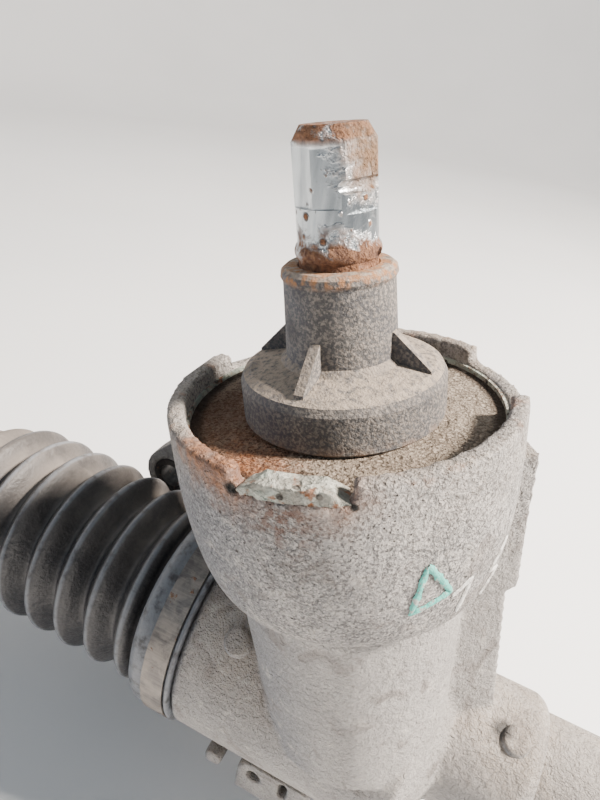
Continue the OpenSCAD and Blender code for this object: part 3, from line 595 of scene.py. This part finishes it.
def boot_profile():
    rings = [(0, 36.2), (0.15, 37.7), (0.7, 38.2), (1.3, 37.9), (1.7, 37.2), (2.0, 36.95), (11.2, 36.95),
             (12.0, 37.15), (13.2, 37.25), (14.6, 37.0), (16.0, 36.2), (17.2, 34.2), (18.0, 31.5),
             (18.7, 29.0), (19.3, 28.0)]
    for i in range(FOLDS):
        crest, valley = fold_size(i)
        before = fold_size(i - 1)[1] if i else 27.2
        at = FIRST + PITCH * i
        for u in FOLD_STEPS:
            if i == 0 and u < -0.27:
                continue
            low = before if u < 0 else valley
            rise = max(0.0, 1 - abs(u) / 0.5)
            shape = smooth(rise * 0.93 + 0.05) if rise < 0.6 else 1 - 1.35 * (1 - rise) ** 1.7
            rings.append((at + PITCH * u, low + (crest - low) * min(1.0, shape)))
    last = rings[-1][0]
    rings += [(last + 2, 14.0), (last + 4, 12.0), (last + 6, 11.1), (END_S - 16, 10.8), (END_S - 1.2, 10.8),
              (END_S - 0.4, 10.9), (END_S, 10.5)]
    return rings


CUTS = (FIRST + PITCH * 7.5, FIRST + PITCH * 9.5)
AROUND = 112


def boot_piece(name, side, rings):
    verts, faces = [], []
    # the outer skin one way, then the inner skin back
    for s, r in rings + [(s, r - WALL) for s, r in reversed(rings)]:
        x, z, tilt = boot_line(s)
        for k in range(AROUND):
            a = 2 * math.pi * k / AROUND
            # rubber is never quite round
            ripple = 0.08 * noise.noise((s * 0.11, math.cos(a), math.sin(a)))
            rr = r + 0.12 * math.sin(3 * a + s * 0.05) + ripple
            out = rr * math.sin(a)
            verts.append(Vector((side * (x + out * math.sin(tilt)), RACK_Y / MM + rr * math.cos(a),
                                 z + out * math.cos(tilt))) * MM)
    m = len(verts) // AROUND
    for j in range(m):
        for k in range(AROUND):
            a, b = j * AROUND + k, j * AROUND + (k + 1) % AROUND
            c, d = (a + AROUND) % len(verts), (b + AROUND) % len(verts)
            faces.append((a, b, d, c) if side > 0 else (a, c, d, b))
    return piece(name, verts, faces, "boot_rubber")


def make_boot(side, hand):
    rings = boot_profile()
    for part, low, high in (("bellows", 0, CUTS[0]), ("mouth", CUTS[0], CUTS[1]), ("cuff", CUTS[1], END_S)):
        ob = boot_piece(f"{hand}_boot_{part}", side, [q for q in rings if low - 0.01 <= q[0] <= high + 0.01])
        if part == "bellows":
            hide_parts(f"{hand}_boot")
        elif part == "mouth":
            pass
        else:
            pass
        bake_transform(ob)


make_boot(-1, "left")
make_boot(1, "right")


# The tab of the crimp ring that is bent into the front notch, corroded and lumpy.
def crimp_tab(name, first, last, top, foot, r_in, r_out):
    rows, cols = 9, 56
    verts, faces = [], []
    section = []
    for i in range(rows):
        section.append((r_out, foot + (top - foot) * i / (rows - 1)))
    for i in range(1, rows):
        section.append((r_out - (r_out - r_in) * i / (rows - 1), top))
    section.append((r_in, foot))
    n = len(section)
    for j in range(cols + 1):
        at = first + (last - first) * j / cols
        shrink = min(1.0, 0.35 + 3.2 * min(j, cols - j) / cols)
        for r, h in section:
            p = polar(r, at, foot + (h - foot) * shrink)
            lump = noise.noise(p * 420) * 0.55 + noise.noise(p * 1100) * 0.3
            out = p - tower(0, 0, h)
            verts.append(p + out.normalized() * lump * MM * 0.5 + UP * lump * MM * 0.5)
    for j in range(cols):
        for i in range(n):
            a, b = j * n + i, j * n + (i + 1) % n
            faces.append((a, a + n, b + n, b))
    faces.append(tuple(range(n)))
    faces.append(tuple(cols * n + i for i in reversed(range(n))))
    ob = piece(name, verts, faces, "cover_ring")
    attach(ob, "housing")


crimp_tab("front_crimp_tab", -99.3, -67.4, RIM_H - 1.3, RIM_H - 5.2, 35.6, 40.7)


# Round ejector marks that stand up from the casting, with a soft edge.
def ejector_disc(name, x, up, r, disc_r):
    a = math.radians(up)
    out = Vector((0, -math.cos(a), math.sin(a)))
    across = Vector((0, math.sin(a), math.cos(a)))
    centre = Vector((x, RACK_Y / MM, 0)) + out * r
    rings = [(disc_r + 0.9, -1.2), (disc_r + 0.5, -0.3), (disc_r + 0.15, 0.5), (disc_r - 0.25, 1.1),
             (disc_r - 0.8, 1.35), (disc_r * 0.5, 1.3)]
    verts = [(centre + Vector((math.cos(t), 0, 0)) * q + across * math.sin(t) * q + out * h) * MM
             for q, h in rings for t in (2 * math.pi * k / 48 for k in range(48))]
    verts.append((centre + out * 1.25) * MM)
    faces = [(j * 48 + k, j * 48 + (k + 1) % 48, j * 48 + 48 + (k + 1) % 48, j * 48 + 48 + k)
             for j in range(len(rings) - 1) for k in range(48)]
    last = (len(rings) - 1) * 48
    faces += [(last + k, last + (k + 1) % 48, len(verts) - 1) for k in range(48)]
    ob = piece(name, verts, faces, "cast_aluminium")
    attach(ob, "housing")


ejector_disc("ejector_disc_chamber", -215, 46, 37, 4.2)
ejector_disc("ejector_disc_block", -131.5, 68, 22, 3.9)


# Hand-drawn marks on the cup's wall: a small triangle and some strokes.
def stroke(name, points, width, material):
    """A ribbon on the cup's wall through (bearing, height) points in degrees and mm."""
    verts, faces = [], []
    dense = []
    for (a0, h0), (a1, h1) in zip(points, points[1:]):
        for i in range(12):
            t = i / 12
            dense.append((a0 + (a1 - a0) * t, h0 + (h1 - h0) * t))
    dense.append(points[-1])
    for i, (a, h) in enumerate(dense):
        b = dense[min(i + 1, len(dense) - 1)]
        c = dense[max(i - 1, 0)]
        da, dh = (b[0] - c[0]) * 0.7, b[1] - c[1]
        size = math.hypot(da, dh) or 1
        w = width * (0.8 + 0.5 * noise.noise((i * 0.4, h, a))) / 2
        end = min(1.0, 0.45 + min(i, len(dense) - 1 - i) * 0.4)
        for k in (-1, -0.5, 0, 0.5, 1):
            aa, hh = a - k * w * end * dh / size / 0.7, h + k * w * end * da / size
            lift = 0.42 if abs(k) < 1 else 0.1
            verts.append(polar(cup_radius(hh) + lift, aa, hh))
    for i in range(len(dense) - 1):
        for k in range(4):
            a = i * 5 + k
            faces.append((a, a + 1, a + 6, a + 5))
    ob = piece(name, verts, faces, material)
    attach(ob, "housing")


stroke("teal_mark", [(-47, 99), (-51, 86), (-38, 89), (-47, 99)], 2.0, "teal_mark")
stroke("chalk_mark_a", [(-37, 87), (-30, 89.5), (-33, 80)], 1.6, "chalk_mark")
stroke("chalk_mark_b", [(-10, 92), (-19, 86), (-12, 84), (-20, 79)], 1.2, "chalk_mark")


# ---- floor and light ----

def area_light(name, place, aim, size, power, colour):
    light = bpy.data.lights.new(name, "AREA")
    light.shape = "DISK"
    light.size = size
    light.energy = power
    light.color = colour
    ob = bpy.data.objects.new(name, light)
    ob.location = place
    ob.rotation_euler = (Vector(aim) - Vector(place)).to_track_quat("-Z", "Y").to_euler()
    SCENE.collection.objects.link(ob)


FLOOR_GAP = 0.004
floor_z = cad_box[0][2] - FLOOR_GAP
corners = [(-4, -4, floor_z), (4, -4, floor_z), (4, 4, floor_z), (-4, 4, floor_z)]
floor = piece("floor", corners, [(0, 1, 2, 3)], "chalk_mark")
ground = Surface("floor_paint", rough=0.9, specular=0.2)
ground.colour(ground.mix(ground.noise(3, 2, 0.3, 0.7), (0.86, 0.86, 0.86), (0.90, 0.90, 0.90)))
# a pale backdrop that curves up behind the floor
bends = [math.radians(t) for t in range(0, 91, 6)]
profile = [(1.5 + 0.7 * math.sin(t), 0.7 - 0.7 * math.cos(t)) for t in bends]
profile.append((2.2, 3.2))
turns = [math.radians(t) for t in range(28, 206, 6)]
spots = [(r * math.cos(t), r * math.sin(t), floor_z + h) for t in turns for r, h in profile]
n = len(profile)
quads = [(j * n + i, (j + 1) * n + i, (j + 1) * n + i + 1, j * n + i + 1)
         for j in range(len(turns) - 1) for i in range(n - 1)]
backdrop = piece("backdrop", spots, quads, "chalk_mark")
for stage in (floor, backdrop):
    stage.data.materials.clear()
    stage.data.materials.append(ground.mat)

aim = tower(0, 0, 95)
area_light("key", aim + Vector((0.86, 0.24, 0.92)), aim, 0.2, 95, (1.0, 0.91, 0.82))
area_light("fill", aim + Vector((-0.9, -1.0, 0.6)), aim, 1.2, 2.5, (0.70, 0.84, 1.0))
world = bpy.data.worlds.new("studio")
SCENE.world = world
world.use_nodes = True
world.node_tree.nodes["Background"].inputs[0].default_value = (0.74, 0.87, 1.0, 1)
world.node_tree.nodes["Background"].inputs[1].default_value = 0.30
